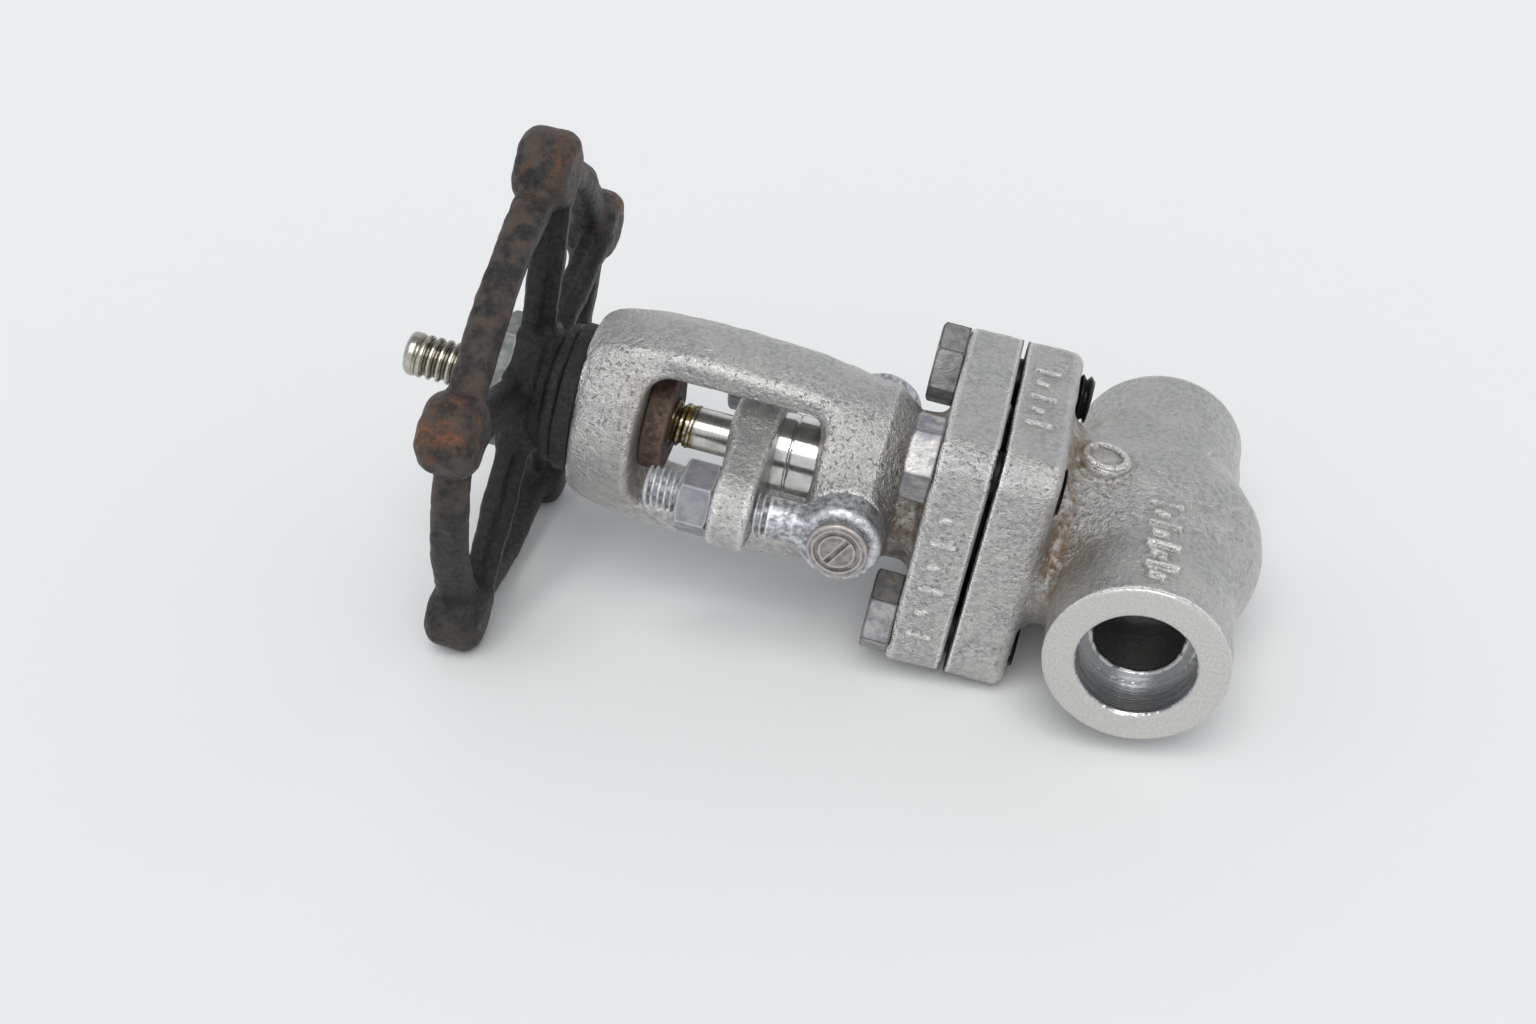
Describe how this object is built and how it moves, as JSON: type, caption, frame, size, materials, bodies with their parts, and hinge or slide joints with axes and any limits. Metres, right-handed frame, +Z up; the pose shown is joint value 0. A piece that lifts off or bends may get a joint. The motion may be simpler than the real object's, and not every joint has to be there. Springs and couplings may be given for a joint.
{
  "type": "gate valve",
  "caption": "Small forged stainless gate valve with square bolted bonnet, outside screw and yoke, socket-weld ends and a lobed black handwheel, lying on its side.",
  "frame": {"origin": "on the ground under the middle of the valve's bounding box, the valve lying as it rests on a table", "axes": "-X along the stem towards the handwheel and slightly up, -Y out of the front pipe socket, +Z up from the surface it lies on"},
  "size_m": [0.1722, 0.1058, 0.1003],
  "materials": {
    "forged_stainless": "blasted forging with small pits and glints",
    "machined_stainless": "fine turned",
    "polished_stainless": "bright turned",
    "stem_steel": "bright shank, greasy thread",
    "graphite": "matt black graphite",
    "yoke_nut_alloy": "brown rust",
    "black_iron": "black scale with rust on the grips",
    "grey_zinc_steel": "dull grey plating",
    "bolt_steel": "heat-tinted and oily",
    "zinc_steel": "blotchy zinc",
    "nut_steel": "smooth plated"
  },
  "bodies": {
    "root": {"valve_body": "forged_stainless", "seat_ring_front": "machined_stainless", "seat_ring_rear": "machined_stainless", "bonnet_gasket": "graphite", "bonnet": "forged_stainless", "bonnet_bolt_upper_front": "bolt_steel", "bonnet_bolt_upper_rear": "bolt_steel", "bonnet_bolt_lower_front": "bolt_steel", "bonnet_bolt_lower_rear": "bolt_steel", "backseat_bush": "machined_stainless", "packing_ring_1": "graphite", "packing_ring_2": "graphite", "packing_ring_3": "graphite", "packing_ring_4": "graphite", "packing_ring_5": "graphite", "eyebolt_front": "zinc_steel", "eyebolt_rear": "zinc_steel", "eyebolt_pin_front": "zinc_steel", "eyebolt_pin_rear": "zinc_steel", "thrust_washer": "black_iron"},
    "handwheel_body": {"handwheel": "black_iron", "yoke_nut": "yoke_nut_alloy", "handwheel_nut": "grey_zinc_steel"},
    "stem_body": {"stem": "stem_steel", "wedge": "machined_stainless"},
    "gland_body": {"gland_flange": "forged_stainless", "gland_bush": "polished_stainless"},
    "gland_nut_front_body": {"gland_nut_front": "nut_steel"},
    "gland_nut_rear_body": {"gland_nut_rear": "nut_steel"}
  },
  "joints": [
    {"name": "handwheel_turn", "type": "hinge", "parent": "root", "child": "handwheel_body", "pos_m": [-0.06214, 0, 0.04567], "axis": [-0.9823, 0, 0.1871], "range_deg": [-1584, 936]},
    {"name": "stem_lift", "type": "slide", "parent": "root", "child": "stem_body", "axis": [-0.9823, 0, 0.1871], "range_m": [-0.0088, 0.0052]},
    {"name": "gland_lift", "type": "slide", "parent": "root", "child": "gland_body", "axis": [-0.9823, 0, 0.1871], "range_m": [0, 0.00375]},
    {"name": "gland_nut_front_turn", "type": "hinge", "parent": "gland_body", "child": "gland_nut_front_body", "pos_m": [-0.02186, -0.0235, 0.038], "axis": [-0.9823, 0, 0.1871], "range_deg": [0, 1080]},
    {"name": "gland_nut_rear_turn", "type": "hinge", "parent": "gland_body", "child": "gland_nut_rear_body", "pos_m": [-0.02186, 0.0235, 0.038], "axis": [-0.9823, 0, 0.1871], "range_deg": [0, 1080]}
  ],
  "couplings": [
    {"joint": "stem_lift", "follows": "handwheel_turn", "m_per_rad": 0.00031831},
    {"joint": "gland_nut_front_turn", "follows": "gland_lift", "rad_per_m": 5026.5},
    {"joint": "gland_nut_rear_turn", "follows": "gland_lift", "rad_per_m": 5026.5}
  ]
}
